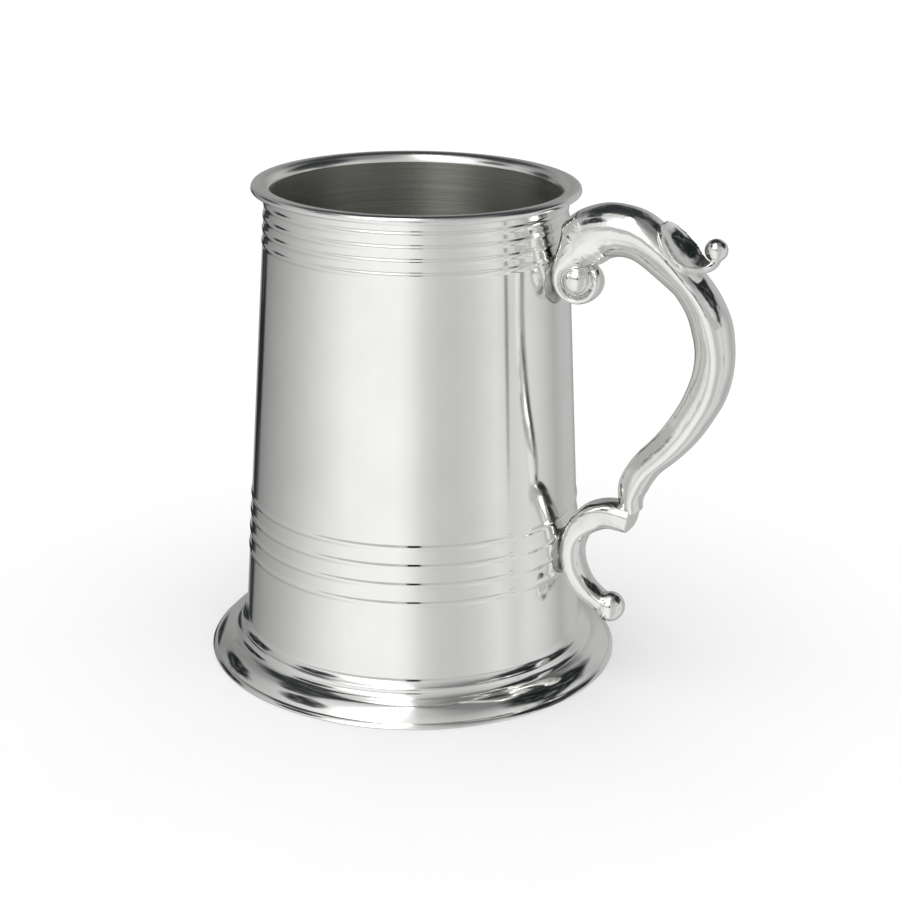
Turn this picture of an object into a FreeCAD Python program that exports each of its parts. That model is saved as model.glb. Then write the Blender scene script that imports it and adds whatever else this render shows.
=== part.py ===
import FreeCAD, Part
import math
import os

import Sketcher

# A one-pint pewter tankard: a spun, tapered barrel with two bands of reeding, a turned lip, a spun
# and stepped foot, and a cast double-scroll handle with a leaf-shaped thumb rest.
# +Z is up, the origin is the centre of the circle that the foot stands on, and the handle is on +X.

Vector = FreeCAD.Vector

DIMENSIONS = {
    # overall
    "overall_height": (120.8, "top of the lip above the table"),
    # barrel
    "cone_radius": (43.66, "outer radius of the barrel's cone, carried down to the table"),
    "cone_taper": (0.0593, "loss of radius for each millimetre of height"),
    "wall": (1.5, "thickness of the spun barrel"),
    "barrel_base": (8.0, "lower edge of the barrel, inside the foot's collar"),
    "low_band_base": (27.9, "middle of the lowest reed of the lower band"),
    "low_band_pitch": (4.67, "height from one reed of the lower band to the next"),
    "high_band_base": (106.6, "middle of the lowest reed of the upper band"),
    "high_band_pitch": (3.1, "height from one reed of the upper band to the next"),
    "reed_half": (0.95, "half of a reed's height"),
    "reed_bulge": (1.6, "radius of a reed's rounded face"),
    # lip
    "lip_radius": (40.1, "outer radius of the lip"),
    "lip_depth": (2.4, "height of the lip's ring"),
    "lip_edge": (1.3, "radius of the lip's rounded edge"),
    "lip_flare": (2.6, "radius of the hollow under the lip"),
    "lip_crown": (6.0, "radius of the lip's slightly domed top"),
    "lip_fall": (2.4, "radius of the curve from the lip's top down to the inside wall"),
    "lip_inner": (1.5, "how far that curve reaches out from the inside wall"),
    # bottom
    "floor_height": (9.8, "underside of the bottom disc"),
    "floor_thickness": (1.5, "thickness of the bottom disc"),
    "solder_leg": (1.1, "leg of a solder fillet"),
    "solder_hollow": (1.6, "radius of the solder fillet's hollow face"),
    # foot
    "foot_radius": (52.2, "largest radius of the foot, at the table"),
    "foot_sheet": (1.4, "thickness of the spun foot"),
    "collar_top": (9.4, "top of the collar that grips the barrel"),
    "bead_height": (6.3, "lower edge of the bead round the foot's collar"),
    "bead_rise": (1.0, "height of that bead"),
    "bead_bulge": (0.95, "radius of the bead's face"),
    "bead_inset": (7.7, "how far the bead's top lies inside the foot's edge"),
    "collar_hollow": (3.0, "radius of the hollow above the bead"),
    "shoulder_hollow": (2.4, "radius of the hollow between bead and shoulder"),
    "shoulder_inset": (5.6, "how far the shoulder's top lies inside the foot's edge"),
    "shoulder_bulge": (6.0, "radius of the rounded shoulder"),
    "skirt_inset": (1.2, "how far the skirt's lower edge lies inside the foot's edge"),
    "shoulder_top": (4.8, "top of the foot's rounded shoulder"),
    "rim_height": (1.2, "height of the ring under the foot"),
    "rim_width": (2.6, "width of the ring under the foot"),
    "rim_edge": (0.3, "height of the rim's small rounded edge"),
    "rim_edge_radius": (0.4, "radius of that edge"),
    "rim_slope": (2.4, "radius of the rim's sloping face"),
    # upper scroll
    "scroll_start_x": (41.9, "start of the upper scroll's centre line, at the barrel"),
    "scroll_start_z": (104.4, "height of that start"),
    "arch_width": (14.2, "widest part of the upper scroll"),
    "arch_thickness": (14.0, "thickest part of the upper scroll"),
    "volute_x": (43.5, "middle of the upper volute"),
    "volute_z": (102.0, "height of that middle"),
    "volute_radius": (5.7, "outer radius of the upper volute"),
    "volute_width": (8.0, "width of the upper volute"),
    "boss_radius": (3.9, "radius of the ball in the volute's eye"),
    "boss_reach": (6.0, "how far that ball stands out of the handle's middle plane"),
    # thumb rest
    "leaf_start_x": (64.0, "start of the thumb leaf's centre line, on the crown of the arch"),
    "leaf_start_z": (118.4, "height of that start"),
    "leaf_width": (15.6, "widest part of the thumb leaf"),
    "leaf_thickness": (2.2, "thickness of the thumb leaf"),
    "knob_radius": (2.6, "radius of the knob at the leaf's tip"),
    # lower scroll
    "hook_start_x": (59.0, "start of the lower scroll's centre line, at the upper scroll"),
    "hook_start_z": (44.9, "height of that start"),
    "hook_width": (8.8, "widest part of the lower scroll"),
    "hook_thickness": (7.0, "thickest part of the lower scroll"),
    "bud_radius": (3.6, "radius of the ball that ends the lower scroll"),
    # solder pads
    "solder_film": (0.15, "thickness of the solder between a casting and the barrel"),
    "pad_reach": (1.5, "how far a solder pad stands out of the barrel"),
    "pad_width": (11.0, "width of a solder pad, round the barrel"),
    "pad_height": (13.0, "height of a solder pad"),
}

# Each scroll's centre line is a chain of tangent arcs. An arc has its radius, its turn in degrees
# (plus turns left, seen from -Y), and the thickness and width that the casting has reached at its
# end, as shares of the thickest and the widest place.
SCROLL_HEADING = 90
SCROLL_BEGINS = (0.57, 0.60)
SCROLL_ARCS = (
    (10.2, -40, 0.96, 0.96),
    (10.2, -19.4, 0.97, 1.00),
    (13.0, -69.2, 0.78, 0.96),
    (139.0, -4.7, 0.54, 0.88),
    (24.1, -28, 0.68, 0.86),
    (24.1, -42.6, 0.65, 0.80),
    (53.1, -21.5, 0.52, 0.66),
    (20.9, 26.2, 0.52, 0.60),
    (9.4, 41.5, 0.38, 0.44),
)
HOOK_HEADING = 170
HOOK_BEGINS = (0.92, 0.96)
HOOK_ARCS = (
    (40.0, 4, 0.98, 1.00),
    (10.8, 35, 1.00, 1.00),
    (10.8, 36, 0.80, 1.00),
    (12.6, 40, 0.78, 0.90),
    (12.6, 43, 0.66, 0.76),
    (20.0, 11, 0.60, 0.68),
)
LEAF_HEADING = -53
LEAF_BEGINS = (0.60, 0.24)
LEAF_ARCS = (
    (85.0, 3, 0.85, 0.70),
    (85.0, 3.2, 1.00, 1.00),
    (6.0, 42.8, 1.00, 0.50),
    (2.5, 80, 1.00, 0.24),
)
DEGREES_PER_SECTION = 8
# How far a ball's middle lies past the end of its casting, as a share of the ball's radius.
KNOB_LIFT = 0.7
BUD_REACH = 0.35
REEDS_IN_BAND = 4
# The lower scroll touches the barrel this far above the lowest reed.
HOOK_SEAT = 5.6
# A solder slug starts inside the barrel by this much, before it is cut to the barrel.
SLUG_EXTRA = 2


class Size:
    """A length that carries its value and the sheet expression that gives it."""

    def __init__(self, value, text):
        self.value = value
        self.text = text

    def joined(self, other, sign, value):
        text = other.text if isinstance(other, Size) else str(other)
        return Size(value, f"({self.text} {sign} {text})")

    def __add__(self, other):
        return self.joined(other, "+", self.value + number(other))

    def __sub__(self, other):
        return self.joined(other, "-", self.value - number(other))

    def __mul__(self, other):
        return self.joined(other, "*", self.value * number(other))


def number(size):
    return size.value if isinstance(size, Size) else size


doc = FreeCAD.newDocument("Tankard")
sheet = doc.addObject("Spreadsheet::Sheet", "Dims")
sizes = {}
for row, (alias, (value, note)) in enumerate(DIMENSIONS.items(), start=1):
    sheet.set(f"A{row}", alias)
    sheet.set(f"B{row}", str(value))
    sheet.set(f"C{row}", note)
    sheet.setAlias(f"B{row}", alias)
    sizes[alias] = Size(value, f"Dims.{alias}")
doc.recompute()


def at(alias):
    return sizes[alias]


def cone(height):
    """Outer radius of the plain barrel at a height."""
    return at("cone_radius") - at("cone_taper") * height


# ---------------------------------------------------------------- turned pieces


def arc_between(start, end, radius, bulge_left):
    """The shorter arc from start to end, always drawn counter-clockwise, as a sketch keeps it."""
    chord = end - start
    left = Vector(-chord.y, chord.x, 0).normalize()
    rise = math.sqrt(max(radius**2 - (chord.Length / 2) ** 2, 0.0))
    centre = (start + end) * 0.5 - left * (rise if bulge_left else -rise)
    circle = Part.Circle(centre, Vector(0, 0, 1), radius)
    first, last = (end, start) if bulge_left else (start, end)
    return Part.ArcOfCircle(circle, circle.parameter(first), circle.parameter(last))


def draw_profile(sketch, corners):
    """A closed outline. A corner is (radius, height) or (radius, height, arc radius, bulge), where
    the last two make the side that leaves it an arc which bulges to its left or right."""
    count = len(corners)
    points = [Vector(number(corner[0]), number(corner[1]), 0) for corner in corners]
    starts = []
    ends = []
    for index, corner in enumerate(corners):
        here = points[index]
        there = points[(index + 1) % count]
        if len(corner) == 2:
            sketch.addGeometry(Part.LineSegment(here, there), False)
            starts.append(1)
            ends.append(2)
            continue
        bulge_left = corner[3] == "left"
        sketch.addGeometry(arc_between(here, there, number(corner[2]), bulge_left), False)
        starts.append(2 if bulge_left else 1)
        ends.append(1 if bulge_left else 2)
    for index, corner in enumerate(corners):
        after = (index + 1) % count
        sketch.addConstraint(Sketcher.Constraint("Coincident", index, ends[index], after, starts[after]))
        pin_corner(sketch, index, starts[index], corner)
        if len(corner) == 4:
            radius = sketch.addConstraint(Sketcher.Constraint("Radius", index, number(corner[2])))
            bind(sketch, f"Constraints[{radius}]", corner[2])


def pin_corner(sketch, edge, end, corner):
    """Fix a corner's distance from the axis and from the table."""
    for kind, axis, size in (("DistanceX", -2, corner[0]), ("DistanceY", -1, corner[1])):
        if number(size) == 0:
            sketch.addConstraint(Sketcher.Constraint("PointOnObject", edge, end, axis))
            continue
        place = sketch.addConstraint(Sketcher.Constraint(kind, -1, 1, edge, end, number(size)))
        bind(sketch, f"Constraints[{place}]", size)


def bind(target, name, size):
    if isinstance(size, Size):
        target.setExpression(name, size.text)


def turned(label, corners):
    """A ring or disc, spun about Z from an outline in the XZ plane."""
    body = doc.addObject("PartDesign::Body", label)
    body.Label = label
    plane = [item for item in body.Origin.OriginFeatures if item.Role == "XZ_Plane"][0]
    sketch = body.newObject("Sketcher::SketchObject", f"{label}_outline")
    sketch.AttachmentSupport = (plane, [""])
    sketch.MapMode = "FlatFace"
    draw_profile(sketch, corners)
    spin = body.newObject("PartDesign::Revolution", f"{label}_spin")
    spin.Profile = sketch
    spin.ReferenceAxis = (sketch, ["V_Axis"])
    spin.Angle = 360
    body.Tip = spin
    return body


def reed(middle):
    """The two corners of one raised, rounded reed on the barrel, from the lower one up."""
    low = middle - at("reed_half")
    high = middle + at("reed_half")
    return [(cone(low), low, at("reed_bulge"), "right"), (cone(high), high)]


def barrel():
    top = at("overall_height") - at("lip_depth")
    outline = [(cone(at("barrel_base")), at("barrel_base"))]
    for index in range(REEDS_IN_BAND):
        outline += reed(at("low_band_base") + at("low_band_pitch") * index)
    for index in range(REEDS_IN_BAND):
        outline += reed(at("high_band_base") + at("high_band_pitch") * index)
    outline.append((cone(top), top))
    outline.append((cone(top) - at("wall"), top))
    outline.append((cone(at("barrel_base")) - at("wall"), at("barrel_base")))
    return turned("barrel", outline)


def lip_ring():
    """A flared neck that rolls over into a rounded edge and falls back to the inside wall."""
    top = at("overall_height")
    seat = top - at("lip_depth")
    bore = cone(seat) - at("wall")
    low_edge = at("lip_radius") - at("lip_edge") * 0.4
    high_edge = at("lip_radius") - at("lip_edge") * 0.8
    outline = [
        (bore, seat),
        (cone(seat), seat, at("lip_flare"), "left"),
        (low_edge, top - at("lip_edge") * 1.7, at("lip_edge"), "right"),
        (high_edge, top - at("lip_edge") * 0.1, at("lip_crown"), "right"),
        (bore + at("lip_inner"), top - at("lip_edge") * 0.25, at("lip_fall"), "right"),
    ]
    return turned("lip_ring", outline)


def bottom_disc():
    low = at("floor_height")
    high = low + at("floor_thickness")
    outline = [
        (0, low),
        (cone(low) - at("wall"), low),
        (cone(high) - at("wall"), high),
        (0, high),
    ]
    return turned("bottom_disc", outline)


def floor_solder():
    """The fillet of solder that holds the bottom disc, on its underside."""
    high = at("floor_height")
    low = high - at("solder_leg")
    outline = [
        (cone(high) - at("wall") - at("solder_leg"), high, at("solder_hollow"), "left"),
        (cone(low) - at("wall"), low),
        (cone(high) - at("wall"), high),
    ]
    return turned("floor_solder_ring", outline)


def foot_skirt():
    """The spun foot: a collar with a bead, a hollow, and a rounded shoulder down to the rim."""
    seat = at("barrel_base")
    inside = cone(seat) - at("wall")
    rim = at("rim_height")
    bead = at("bead_height")
    shoulder = at("shoulder_top")
    edge = at("foot_radius") - at("skirt_inset")
    bead_radius = at("foot_radius") - at("bead_inset")
    shoulder_radius = at("foot_radius") - at("shoulder_inset")
    under = at("foot_sheet") * 1.4
    outline = [
        (inside, seat),
        (inside, seat - at("foot_sheet") * 0.8),
        (shoulder_radius - under, shoulder - at("foot_sheet"), at("shoulder_bulge"), "right"),
        (edge - at("foot_sheet"), rim),
        (edge, rim, at("shoulder_bulge"), "right"),
        (shoulder_radius, shoulder, at("shoulder_hollow"), "left"),
        (bead_radius + at("bead_rise") * 0.5, bead, at("bead_bulge"), "right"),
        (bead_radius, bead + at("bead_rise"), at("collar_hollow"), "left"),
        (cone(at("collar_top")), at("collar_top")),
        (cone(seat), seat),
    ]
    return turned("foot_skirt", outline)


def foot_rim():
    """The ring soldered under the foot, which stands on the table."""
    foot = at("foot_radius")
    high = at("rim_height")
    edge = at("rim_edge")
    inside = foot - at("rim_width")
    outline = [
        (inside + edge * 2, 0),
        (foot - edge, 0, at("rim_edge_radius"), "right"),
        (foot - edge * 0.2, edge, at("rim_slope"), "right"),
        (foot - at("skirt_inset") + edge * 0.4, high),
        (inside, high),
        (inside, edge * 2),
    ]
    return turned("foot_rim_ring", outline)


# ---------------------------------------------------------------- castings and solder


def sections_along(start_x, start_z, heading, begins, arcs):
    """Places down a chain of tangent arcs: x, z, heading in radians, thickness and width shares."""
    x = number(start_x)
    z = number(start_z)
    angle = math.radians(heading)
    thick, wide = begins
    places = [(x, z, angle, thick, wide)]
    for radius, turn, end_thick, end_wide in arcs:
        side = math.copysign(radius, turn)
        steps = max(2, math.ceil(abs(turn) / DEGREES_PER_SECTION))
        for step in range(1, steps + 1):
            share = step / steps
            here = angle + math.radians(turn) * share
            places.append(
                (
                    x + side * (math.sin(here) - math.sin(angle)),
                    z - side * (math.cos(here) - math.cos(angle)),
                    here,
                    thick + (end_thick - thick) * share,
                    wide + (end_wide - wide) * share,
                )
            )
        x, z, angle, thick, wide = places[-1]
    return places


def limb(name, places, thickness, width):
    """A casting with an oval section, lofted through the places of its centre line."""
    ovals = []
    for index, (x, z, angle, thick, wide) in enumerate(places):
        oval = doc.addObject("Part::Ellipse", f"{name}_section_{index}")
        bind(oval, "MajorRadius", width * (wide / 2))
        bind(oval, "MinorRadius", thickness * (thick / 2))
        along = Vector(math.cos(angle), 0, math.sin(angle))
        outward = Vector(-math.sin(angle), 0, math.cos(angle))
        turn = FreeCAD.Rotation(Vector(0, 1, 0), outward, along, "ZXY")
        oval.Placement = FreeCAD.Placement(Vector(x, 0, z), turn)
        ovals.append(oval)
    loft = doc.addObject("Part::Loft", name)
    loft.Sections = ovals
    loft.Solid = True
    loft.Ruled = False
    return loft


def ball(name, x, z, radius):
    sphere = doc.addObject("Part::Sphere", name)
    bind(sphere, "Radius", radius)
    sphere.Placement.Base = Vector(number(x), 0, number(z))
    return sphere


def joined(label, pieces):
    fuse = doc.addObject("Part::MultiFuse", label)
    fuse.Shapes = pieces
    fuse.Label = label
    return fuse


def cut(label, base, tool):
    result = doc.addObject("Part::Cut", label)
    result.Base = base
    result.Tool = tool
    result.Label = label
    return result


def arch_limb():
    places = sections_along(
        at("scroll_start_x"), at("scroll_start_z"), SCROLL_HEADING, SCROLL_BEGINS, SCROLL_ARCS
    )
    return limb("arch", places, at("arch_thickness"), at("arch_width"))


def upper_scroll(leaf, core):
    volute = doc.addObject("Part::Cylinder", "volute")
    bind(volute, "Radius", at("volute_radius"))
    bind(volute, "Height", at("volute_width"))
    turn = FreeCAD.Rotation(Vector(1, 0, 0), 90)
    middle = Vector(number(at("volute_x")), number(at("volute_width")) / 2, number(at("volute_z")))
    volute.Placement = FreeCAD.Placement(middle, turn)
    boss = doc.addObject("Part::Ellipsoid", "volute_boss")
    bind(boss, "Radius1", at("boss_radius"))
    bind(boss, "Radius2", at("boss_radius"))
    bind(boss, "Radius3", at("boss_reach"))
    boss.Placement.Base = Vector(number(at("volute_x")), 0, number(at("volute_z")))
    whole = joined("arch_and_volute", [arch_limb(), volute, boss])
    fitted = cut("arch_on_barrel", whole, core)
    return cut("handle_upper_scroll", fitted, leaf)


def thumb_leaf():
    places = sections_along(
        at("leaf_start_x"), at("leaf_start_z"), LEAF_HEADING, LEAF_BEGINS, LEAF_ARCS
    )
    blade = limb("leaf_blade", places, at("leaf_thickness"), at("leaf_width"))
    tip_x, tip_z = places[-1][:2]
    knob_z = tip_z + number(at("knob_radius")) * KNOB_LIFT
    knob = ball("leaf_knob", tip_x, knob_z, at("knob_radius"))
    return joined("thumb_leaf", [blade, knob])


def lower_scroll(scroll, core):
    places = sections_along(
        at("hook_start_x"), at("hook_start_z"), HOOK_HEADING, HOOK_BEGINS, HOOK_ARCS
    )
    hook = limb("hook", places, at("hook_thickness"), at("hook_width"))
    end_x, end_z, end_angle = places[-1][:3]
    reach = number(at("bud_radius")) * BUD_REACH
    bud_x = end_x + math.cos(end_angle) * reach
    bud_z = end_z + math.sin(end_angle) * reach
    bud = ball("bud", bud_x, bud_z, at("bud_radius"))
    whole = joined("hook_and_bud", [hook, bud])
    fitted = cut("hook_on_barrel", whole, core)
    return cut("handle_lower_scroll", fitted, scroll)


def solder_pad(label, height, core, casting):
    """The oval of solder between a casting and the barrel, hollowed to fit both."""
    oval = doc.addObject("Part::Ellipse", f"{label}_outline")
    bind(oval, "MajorRadius", at("pad_height") * 0.5)
    bind(oval, "MinorRadius", at("pad_width") * 0.5)
    turn = FreeCAD.Rotation(Vector(0, 0, 1), Vector(0, 1, 0), Vector(-1, 0, 0), "ZXY")
    start = number(cone(height)) + number(at("pad_reach"))
    oval.Placement = FreeCAD.Placement(Vector(start, 0, number(height)), turn)
    slug = doc.addObject("Part::Extrusion", f"{label}_slug")
    slug.Base = oval
    slug.DirMode = "Normal"
    slug.Solid = True
    bind(slug, "LengthFwd", at("pad_reach") + SLUG_EXTRA)
    fitted = cut(f"{label}_on_barrel", slug, core)
    return cut(label, fitted, casting)


def barrel_core(name, film):
    """The barrel's outer cone, solid and thicker by a film, used to shape what is soldered on."""
    core = doc.addObject("Part::Cone", name)
    bind(core, "Radius1", at("cone_radius") + film)
    bind(core, "Radius2", cone(at("overall_height")) + film)
    bind(core, "Height", at("overall_height"))
    return core


bare_core = barrel_core("bare_core", 0)
filmed_core = barrel_core("filmed_core", at("solder_film"))
leaf = thumb_leaf()
scroll = upper_scroll(leaf, filmed_core)
hook = lower_scroll(scroll, filmed_core)
parts = [
    barrel(),
    lip_ring(),
    bottom_disc(),
    floor_solder(),
    foot_skirt(),
    foot_rim(),
    scroll,
    leaf,
    hook,
    solder_pad("upper_solder_pad", at("volute_z"), bare_core, scroll),
    solder_pad("lower_solder_pad", at("low_band_base") + HOOK_SEAT, bare_core, hook),
]
doc.recompute()

for item in doc.Objects:
    if "Invalid" in item.State or "Error" in item.State:
        raise RuntimeError(f"{item.Name} failed: {item.State}")
for part in parts:
    shape = part.Shape
    if shape.isNull() or not shape.isValid():
        raise RuntimeError(f"{part.Label} has no valid shape")

os.makedirs("parts", exist_ok=True)
for part in parts:
    solids = len(part.Shape.Solids)
    print(f"{part.Label}: {part.Shape.Volume / 1000:.2f} cm3 in {solids} solid")
    part.Shape.exportStep(f"parts/{part.Label}.step")
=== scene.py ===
import math

import bmesh
import bpy
from mathutils import Matrix, Vector, noise


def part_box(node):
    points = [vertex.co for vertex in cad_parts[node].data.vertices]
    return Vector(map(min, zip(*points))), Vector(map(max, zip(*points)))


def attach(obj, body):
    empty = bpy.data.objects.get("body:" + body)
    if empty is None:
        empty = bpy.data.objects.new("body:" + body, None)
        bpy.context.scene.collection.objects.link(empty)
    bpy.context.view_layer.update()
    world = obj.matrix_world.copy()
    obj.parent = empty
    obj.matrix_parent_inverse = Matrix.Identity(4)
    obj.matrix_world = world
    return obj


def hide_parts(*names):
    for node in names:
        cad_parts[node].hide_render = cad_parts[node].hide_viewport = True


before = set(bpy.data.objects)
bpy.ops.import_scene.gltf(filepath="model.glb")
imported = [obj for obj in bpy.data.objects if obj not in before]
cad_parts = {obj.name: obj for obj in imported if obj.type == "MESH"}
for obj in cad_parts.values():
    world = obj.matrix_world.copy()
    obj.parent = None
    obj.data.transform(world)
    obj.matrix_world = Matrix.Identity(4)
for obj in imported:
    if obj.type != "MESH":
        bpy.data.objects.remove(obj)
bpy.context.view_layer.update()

# A polished pewter pint tankard. Lengths here are millimetres and become metres when a mesh is
# made. +Z is up, the origin is under the middle of the foot, and the handle is on +X.
MM = 0.001


def corners_of(node):
    """A CAD node's lowest and highest corners, in millimetres."""
    low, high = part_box(node)
    return Vector(low) / MM, Vector(high) / MM


# ---------------------------------------------------------------- sizes, from the frame

BARREL_LOW, BARREL_HIGH = corners_of("barrel")
LIP_LOW, LIP_HIGH = corners_of("lip_ring")
FLOOR_LOW, FLOOR_HIGH = corners_of("bottom_disc")
SOLDER_LOW, SOLDER_HIGH = corners_of("floor_solder_ring")
SKIRT_LOW, SKIRT_HIGH = corners_of("foot_skirt")
RIM_LOW, RIM_HIGH = corners_of("foot_rim_ring")

# How much radius the barrel loses for each millimetre of height, and the thickness of its wall.
TAPER = 0.0593
WALL = 1.5
FOOT_SHEET = 1.4
# Each band of reeds: the height of its lowest reed, and the step from one reed to the next.
LOW_BAND = (27.9, 4.67)
HIGH_BAND = (106.6, 3.1)
REEDS_IN_BAND = 4
REED_HALF = 1.05
REED_RELIEF = 0.24
# What is left between the barrel and a casting that is cut to it.
FILM = 0.05
# A point nearer than this to the Z axis is on it.
ON_AXIS = 1e-6
SPIN_SEGMENTS = 192


def cone(height):
    """Outer radius of the plain barrel."""
    return BARREL_HIGH.x - TAPER * (height - BARREL_LOW.z)


def reed_middles():
    """Heights of the eight reeds."""
    bands = (LOW_BAND, HIGH_BAND)
    return [base + pitch * index for base, pitch in bands for index in range(REEDS_IN_BAND)]


def barrel_radius(height):
    """Outer radius of the barrel with its reeds, each a smooth swelling."""
    radius = cone(height)
    for middle in reed_middles():
        share = abs(height - middle) / REED_HALF
        if share < 1:
            radius += REED_RELIEF * (0.5 + 0.5 * math.cos(math.pi * share))
    return radius


# ---------------------------------------------------------------- mesh helpers


def mesh_object(name, shape, materials, body="root"):
    """Make an object from a bmesh that is drawn in millimetres."""
    bmesh.ops.scale(shape, vec=(MM, MM, MM), verts=shape.verts)
    bmesh.ops.recalc_face_normals(shape, faces=shape.faces)
    mesh = bpy.data.meshes.new(name)
    shape.to_mesh(mesh)
    shape.free()
    piece = bpy.data.objects.new(name, mesh)
    bpy.context.scene.collection.objects.link(piece)
    for material in materials:
        mesh.materials.append(material)
    mesh.shade_smooth()
    if body:
        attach(piece, body)
    return piece


def bow(start, end, rise, steps=10):
    """Points of the arc from start towards end that rises to the left of its chord, end left out.

    A rise of 0 is a straight side.
    """
    first = Vector(start)
    chord = Vector(end) - first
    if rise == 0:
        return [tuple(first)]
    left = Vector((-chord.y, chord.x)).normalized()
    half = chord.length / 2
    centre = first + chord / 2 + left * ((rise * rise - half * half) / (2 * rise))
    turn = -4 * math.atan(rise / half)
    points = []
    for step in range(steps):
        spoke = first - centre
        spoke.rotate(Matrix.Rotation(turn * step / steps, 2))
        points.append(tuple(centre + spoke))
    return points


def outline(corners):
    """A closed outline. A corner is (radius, height), and a third number is the rise of its side."""
    points = []
    for index, corner in enumerate(corners):
        end = corners[(index + 1) % len(corners)]
        points += bow(corner[:2], end[:2], corner[2] if len(corner) > 2 else 0)
    return points


def spin(points, segments=SPIN_SEGMENTS):
    """A turned shape: a closed outline of (radius, height) carried once round the Z axis."""
    shape = bmesh.new()
    rings = []
    for radius, height in points:
        if radius < ON_AXIS:
            rings.append([shape.verts.new((0, 0, height))] * segments)
            continue
        ring = []
        for step in range(segments):
            angle = 2 * math.pi * step / segments
            ring.append(shape.verts.new((radius * math.cos(angle), radius * math.sin(angle), height)))
        rings.append(ring)
    for index, ring in enumerate(rings):
        above = rings[(index + 1) % len(rings)]
        for step in range(segments):
            after = (step + 1) % segments
            loop = dict.fromkeys((ring[step], ring[after], above[after], above[step]))
            if len(loop) > 2:
                shape.faces.new(loop)
    return shape


def turned(name, points, materials, sharp=40):
    """A turned piece that stands for the CAD node of its name. Angles over sharp stay crisp."""
    piece = mesh_object(name, spin(points), materials)
    piece.data.set_sharp_from_angle(angle=math.radians(sharp))
    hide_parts(name)
    return piece


# ---------------------------------------------------------------- materials

BUFFED = (0.925, 0.922, 0.905)
BUFFED_HAZE = (0.88, 0.875, 0.855)
INSIDE_DARK = (0.42, 0.43, 0.38)
INSIDE_PALE = (0.60, 0.60, 0.56)
INSIDE_STAIN = (0.40, 0.405, 0.35)
FLOOR_PALE = (0.86, 0.86, 0.82)
FLOOR_STAIN = (0.74, 0.745, 0.69)
CAST = (0.90, 0.895, 0.875)
CAST_HAZE = (0.83, 0.825, 0.80)
# Dark tone for the castings' hollows: patina, and also painted shade in the crevices.
CREVICE_PATINA_AND_SHADE = (0.14, 0.135, 0.125)
SOLDER_PALE = (0.60, 0.595, 0.58)
SOLDER_DARK = (0.40, 0.395, 0.38)
PAPER = (0.92, 0.92, 0.92)
PAPER_PALE = (0.95, 0.95, 0.95)
# How strongly the tool's grooves spread what the inside mirrors, from 0 to 1.
GROOVED = 0.9

class Nodes:
    """A material's node tree, with short calls for the nodes used here."""

    def __init__(self, name):
        self.material = bpy.data.materials.new(name)
        self.material.use_nodes = True
        self.tree = self.material.node_tree
        self.tree.nodes.clear()
        self.place = self.add("ShaderNodeTexCoord").outputs["Object"]

    def add(self, kind, **settings):
        node = self.tree.nodes.new(kind)
        for key, value in settings.items():
            setattr(node, key, value)
        return node

    def link(self, source, socket):
        self.tree.links.new(source, socket)

    def stretched(self, across, along):
        """The object's place, scaled by across in x and y and by along in z, per metre."""
        node = self.add("ShaderNodeMapping")
        node.inputs["Scale"].default_value = (across, across, along)
        self.link(self.place, node.inputs["Vector"])
        return node.outputs["Vector"]

    def noise(self, vector, scale, detail=3.0, roughness=0.5):
        node = self.add("ShaderNodeTexNoise")
        node.inputs["Scale"].default_value = scale
        node.inputs["Detail"].default_value = detail
        node.inputs["Roughness"].default_value = roughness
        self.link(vector, node.inputs["Vector"])
        return node.outputs["Fac"]

    def scaled(self, value, low, high, start=0.0, end=1.0):
        """A value that goes from low to high while the input goes from start to end."""
        node = self.add("ShaderNodeMapRange")
        for socket, number in (("From Min", start), ("From Max", end), ("To Min", low), ("To Max", high)):
            node.inputs[socket].default_value = number
        self.link(value, node.inputs["Value"])
        return node.outputs["Result"]

    def maths(self, operation, first, second=0.0):
        node = self.add("ShaderNodeMath", operation=operation)
        for socket, value in zip(node.inputs, (first, second)):
            if isinstance(value, (int, float)):
                socket.default_value = value
            else:
                self.link(value, socket)
        return node.outputs[0]

    def blend(self, share, first, second):
        """The first colour where share is 0, the second where it is 1."""
        node = self.add("ShaderNodeMix", data_type="RGBA")
        self.link(share, node.inputs[0])
        for socket, value in ((node.inputs[6], first), (node.inputs[7], second)):
            if isinstance(value, tuple):
                socket.default_value = (*value, 1)
            else:
                self.link(value, socket)
        return node.outputs[2]

    def bump(self, height, distance, under=None, strength=1.0):
        """A normal with relief of distance metres, on top of the normal under."""
        node = self.add("ShaderNodeBump")
        node.inputs["Strength"].default_value = strength
        node.inputs["Distance"].default_value = distance
        self.link(height, node.inputs["Height"])
        if under:
            self.link(under, node.inputs["Normal"])
        return node.outputs["Normal"]

    def metal(self, colour, roughness, normal, grooved=0.0):
        """A metal surface. One grooved round the Z axis spreads what it mirrors up and down."""
        shader = self.add("ShaderNodeBsdfPrincipled")
        shader.inputs["Metallic"].default_value = 1.0
        if grooved:
            shader.inputs["Anisotropic"].default_value = grooved
            shader.inputs["Anisotropic Rotation"].default_value = 0.25
            tangent = self.add("ShaderNodeTangent", direction_type="RADIAL", axis="Z")
            self.link(tangent.outputs[0], shader.inputs["Tangent"])
        self.link(colour, shader.inputs["Base Color"])
        self.link(roughness, shader.inputs["Roughness"])
        self.link(normal, shader.inputs["Normal"])
        output = self.add("ShaderNodeOutputMaterial")
        self.link(shader.outputs[0], output.inputs["Surface"])
        return self.material


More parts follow.
